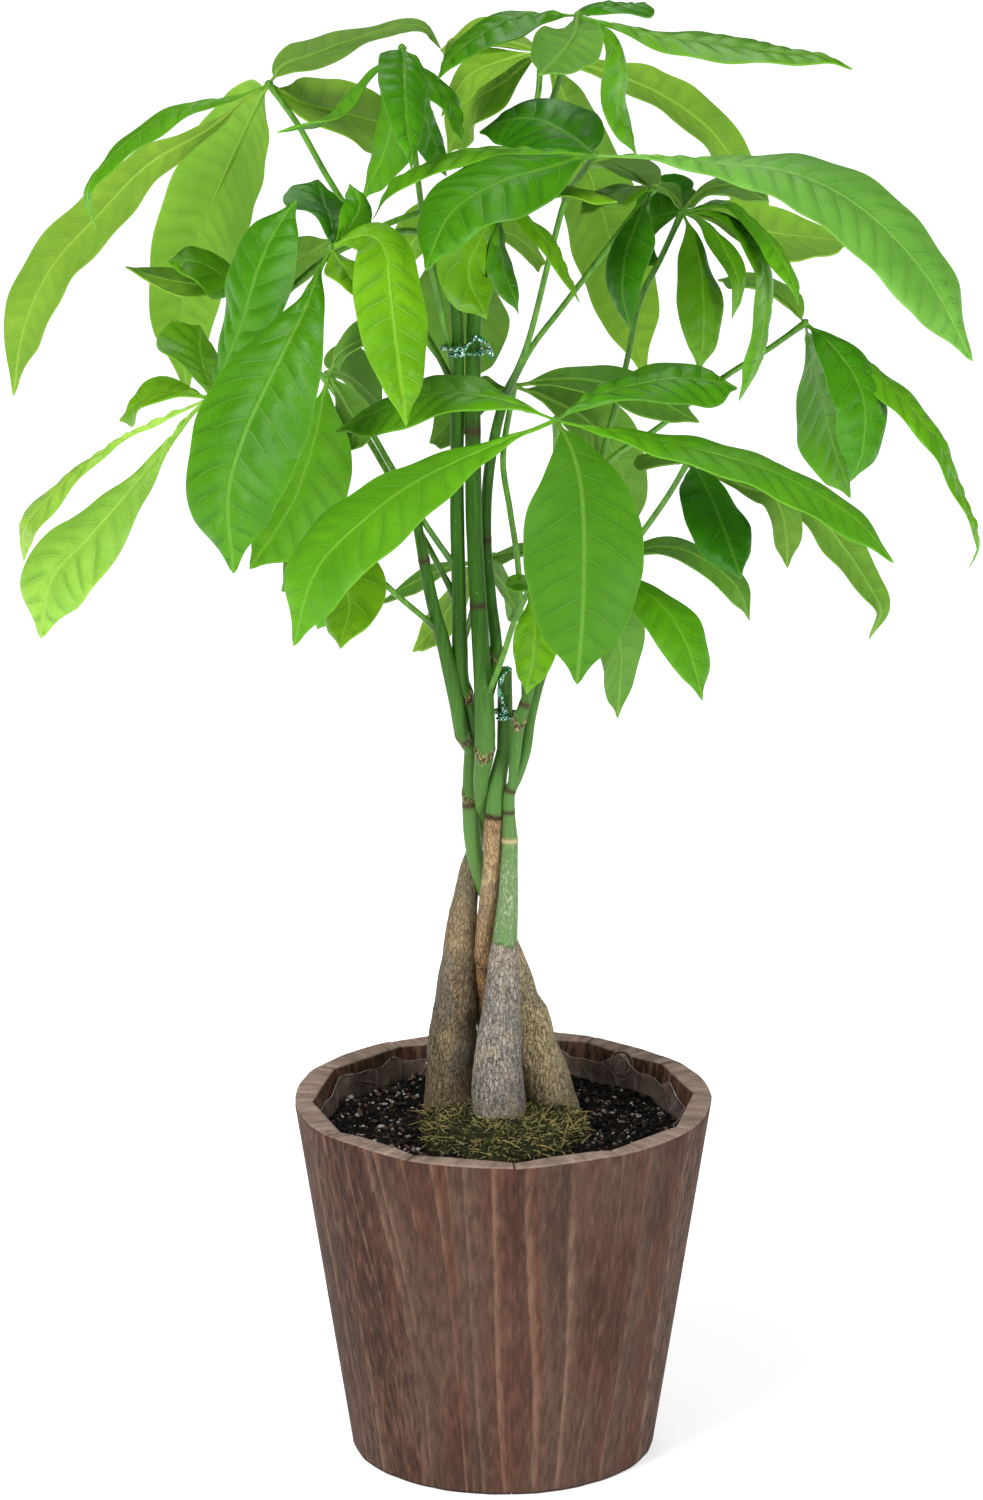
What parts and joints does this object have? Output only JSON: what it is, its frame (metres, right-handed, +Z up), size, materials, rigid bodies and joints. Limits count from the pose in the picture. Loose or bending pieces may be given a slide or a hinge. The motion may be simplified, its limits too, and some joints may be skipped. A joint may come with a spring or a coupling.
{
  "type": "potted money tree",
  "caption": "Braided money tree with palmate leaves in a tapered wooden stave pot lined with clear film, with soil and moss.",
  "frame": {"origin": "middle of the pot's underside", "axes": "+Z up along the pot's axis, the plant's front towards -Y"},
  "size_m": [0.3216, 0.2374, 0.4898],
  "materials": {
    "pot_wood": "burnt, open grain",
    "film": "clear, creased",
    "soil": "loose, dry",
    "moss": "fibrous",
    "bark": "fine bark, green above",
    "tie": "gloss",
    "foliage": "semi-gloss, veined"
  },
  "bodies": {
    "root": {"stave_01": "pot_wood", "stave_02": "pot_wood", "stave_03": "pot_wood", "stave_04": "pot_wood", "stave_05": "pot_wood", "stave_06": "pot_wood", "stave_07": "pot_wood", "stave_08": "pot_wood", "stave_09": "pot_wood", "stave_10": "pot_wood", "stave_11": "pot_wood", "stave_12": "pot_wood", "base_disc": "pot_wood", "liner": "film", "trunk_front": "bark", "trunk_back": "bark", "trunk_right": "bark", "trunk_left": "bark", "soil": "soil", "moss": "moss", "tie_lower": "tie", "tie_upper": "tie", "leaf_01": "foliage", "leaf_02": "foliage", "leaf_03": "foliage", "leaf_04": "foliage", "leaf_05": "foliage", "leaf_06": "foliage", "leaf_07": "foliage", "leaf_08": "foliage", "leaf_09": "foliage", "leaf_10": "foliage", "leaf_11": "foliage", "leaf_12": "foliage", "leaf_13": "foliage", "leaf_14": "foliage", "leaf_15": "foliage", "leaf_16": "foliage", "leaf_17": "foliage", "leaf_18": "foliage", "leaf_19": "foliage", "leaf_20": "foliage", "leaf_21": "foliage"}
  },
  "joints": []
}
